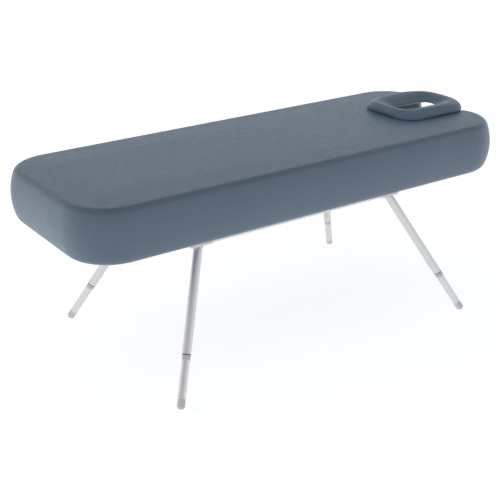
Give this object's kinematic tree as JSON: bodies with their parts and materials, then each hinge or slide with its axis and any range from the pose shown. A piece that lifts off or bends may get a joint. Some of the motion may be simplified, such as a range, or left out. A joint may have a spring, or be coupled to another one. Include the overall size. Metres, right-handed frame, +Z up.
{
  "type": "portable massage table",
  "caption": "Inflatable padded massage table with rounded edges on a light metal frame, plug-in telescopic splayed legs, face notch and removable ring cushion.",
  "frame": {"origin": "on the floor, under the centre of the top", "axes": "+X towards the head end, +Z up, +Y across the table"},
  "size_m": [1.85, 0.8692, 0.7565],
  "materials": {
    "vinyl": "satin coated vinyl fabric, blue-grey",
    "vinyl_band": "satin coated vinyl fabric, blue-grey",
    "foam_cover": "satin coated vinyl over foam",
    "core": "drop-stitch fabric",
    "aluminium": "satin anodised",
    "cast": "cast, powder coated light grey",
    "plastic_light": "moulded, satin",
    "plastic_dark": "moulded, matte",
    "rubber": "moulded, matte",
    "steel": "spring and zinc-plated steel",
    "foam": "closed-cell EVA foam",
    "hook_loop": "hook-and-loop tape",
    "board": "thin birch plywood"
  },
  "bodies": {
    "table": {"air_core": "core", "wall_band": "vinyl_band", "top_panel": "vinyl", "base_panel": "vinyl_band", "notch_lining": "vinyl_band", "valve_body": "plastic_dark", "long_rail_near": "aluminium", "long_rail_far": "aluminium", "end_tube_foot": "aluminium", "end_tube_head": "aluminium", "centre_tube": "aluminium", "frame_screws": "steel", "rail_pads": "foam", "rail_tapes": "hook_loop", "corner_hub_foot_near": "cast", "corner_hub_foot_far": "cast", "corner_hub_head_near": "cast", "corner_hub_head_far": "cast"},
    "upper_leg_foot_near": {"leg_spigot_foot_near": "cast", "outer_tube_foot_near": "aluminium", "guide_bush_foot_near": "plastic_light"},
    "lower_leg_foot_near": {"inner_tube_foot_near": "aluminium", "snap_spring_foot_near": "steel", "foot_plug_foot_near": "plastic_light", "rubber_foot_foot_near": "rubber"},
    "button_foot_near": {"snap_button_foot_near": "plastic_dark"},
    "upper_leg_foot_far": {"leg_spigot_foot_far": "cast", "outer_tube_foot_far": "aluminium", "guide_bush_foot_far": "plastic_light"},
    "lower_leg_foot_far": {"inner_tube_foot_far": "aluminium", "snap_spring_foot_far": "steel", "foot_plug_foot_far": "plastic_light", "rubber_foot_foot_far": "rubber"},
    "button_foot_far": {"snap_button_foot_far": "plastic_dark"},
    "upper_leg_head_near": {"leg_spigot_head_near": "cast", "outer_tube_head_near": "aluminium", "guide_bush_head_near": "plastic_light"},
    "lower_leg_head_near": {"inner_tube_head_near": "aluminium", "snap_spring_head_near": "steel", "foot_plug_head_near": "plastic_light", "rubber_foot_head_near": "rubber"},
    "button_head_near": {"snap_button_head_near": "plastic_dark"},
    "upper_leg_head_far": {"leg_spigot_head_far": "cast", "outer_tube_head_far": "aluminium", "guide_bush_head_far": "plastic_light"},
    "lower_leg_head_far": {"inner_tube_head_far": "aluminium", "snap_spring_head_far": "steel", "foot_plug_head_far": "plastic_light", "rubber_foot_head_far": "rubber"},
    "button_head_far": {"snap_button_head_far": "plastic_dark"},
    "face_cushion": {"face_ring": "foam_cover", "face_ring_board": "board", "face_ring_tape": "hook_loop"},
    "valve_cap": {"valve_cap": "plastic_dark"},
    "valve_poppet": {"valve_poppet": "plastic_light", "valve_spring": "steel"}
  },
  "joints": [
    {"name": "leg_pull_out_foot_near", "type": "slide", "parent": "table", "child": "upper_leg_foot_near", "axis": [-0.3992, -0.3937, -0.8281], "range_m": [0, 0.06]},
    {"name": "telescope_foot_near", "type": "slide", "parent": "upper_leg_foot_near", "child": "lower_leg_foot_near", "axis": [-0.3992, -0.3937, -0.8281], "range_m": [-0.12, 0]},
    {"name": "button_press_foot_near", "type": "slide", "parent": "lower_leg_foot_near", "child": "button_foot_near", "axis": [-0.5896, -0.5814, 0.5606], "range_m": [0, 0.0042], "stiffness_N_per_m": 700, "springref_m": -0.002, "deforming": ["snap_spring_foot_near"]},
    {"name": "leg_pull_out_foot_far", "type": "slide", "parent": "table", "child": "upper_leg_foot_far", "axis": [-0.3992, 0.3937, -0.8281], "range_m": [0, 0.06]},
    {"name": "telescope_foot_far", "type": "slide", "parent": "upper_leg_foot_far", "child": "lower_leg_foot_far", "axis": [-0.3992, 0.3937, -0.8281], "range_m": [-0.12, 0]},
    {"name": "button_press_foot_far", "type": "slide", "parent": "lower_leg_foot_far", "child": "button_foot_far", "axis": [-0.5896, 0.5814, 0.5606], "range_m": [0, 0.0042], "stiffness_N_per_m": 700, "springref_m": -0.002, "deforming": ["snap_spring_foot_far"]},
    {"name": "leg_pull_out_head_near", "type": "slide", "parent": "table", "child": "upper_leg_head_near", "axis": [0.3992, -0.3937, -0.8281], "range_m": [0, 0.06]},
    {"name": "telescope_head_near", "type": "slide", "parent": "upper_leg_head_near", "child": "lower_leg_head_near", "axis": [0.3992, -0.3937, -0.8281], "range_m": [-0.12, 0]},
    {"name": "button_press_head_near", "type": "slide", "parent": "lower_leg_head_near", "child": "button_head_near", "axis": [0.5896, -0.5814, 0.5606], "range_m": [0, 0.0042], "stiffness_N_per_m": 700, "springref_m": -0.002, "deforming": ["snap_spring_head_near"]},
    {"name": "leg_pull_out_head_far", "type": "slide", "parent": "table", "child": "upper_leg_head_far", "axis": [0.3992, 0.3937, -0.8281], "range_m": [0, 0.06]},
    {"name": "telescope_head_far", "type": "slide", "parent": "upper_leg_head_far", "child": "lower_leg_head_far", "axis": [0.3992, 0.3937, -0.8281], "range_m": [-0.12, 0]},
    {"name": "button_press_head_far", "type": "slide", "parent": "lower_leg_head_far", "child": "button_head_far", "axis": [0.5896, 0.5814, 0.5606], "range_m": [0, 0.0042], "stiffness_N_per_m": 700, "springref_m": -0.002, "deforming": ["snap_spring_head_far"]},
    {"name": "face_cushion_lift", "type": "slide", "parent": "table", "child": "face_cushion", "axis": [0, 0, 1], "range_m": [0, 0.08]},
    {"name": "valve_cap_turn", "type": "hinge", "parent": "table", "child": "valve_cap", "pos_m": [-0.7, 0, 0.5245], "axis": [0, 0, -1], "range_deg": [0, 90]},
    {"name": "valve_poppet_press", "type": "slide", "parent": "table", "child": "valve_poppet", "axis": [0, 0, 1], "range_m": [0, 0.004], "stiffness_N_per_m": 400, "springref_m": -0.003, "deforming": ["valve_spring"]}
  ]
}
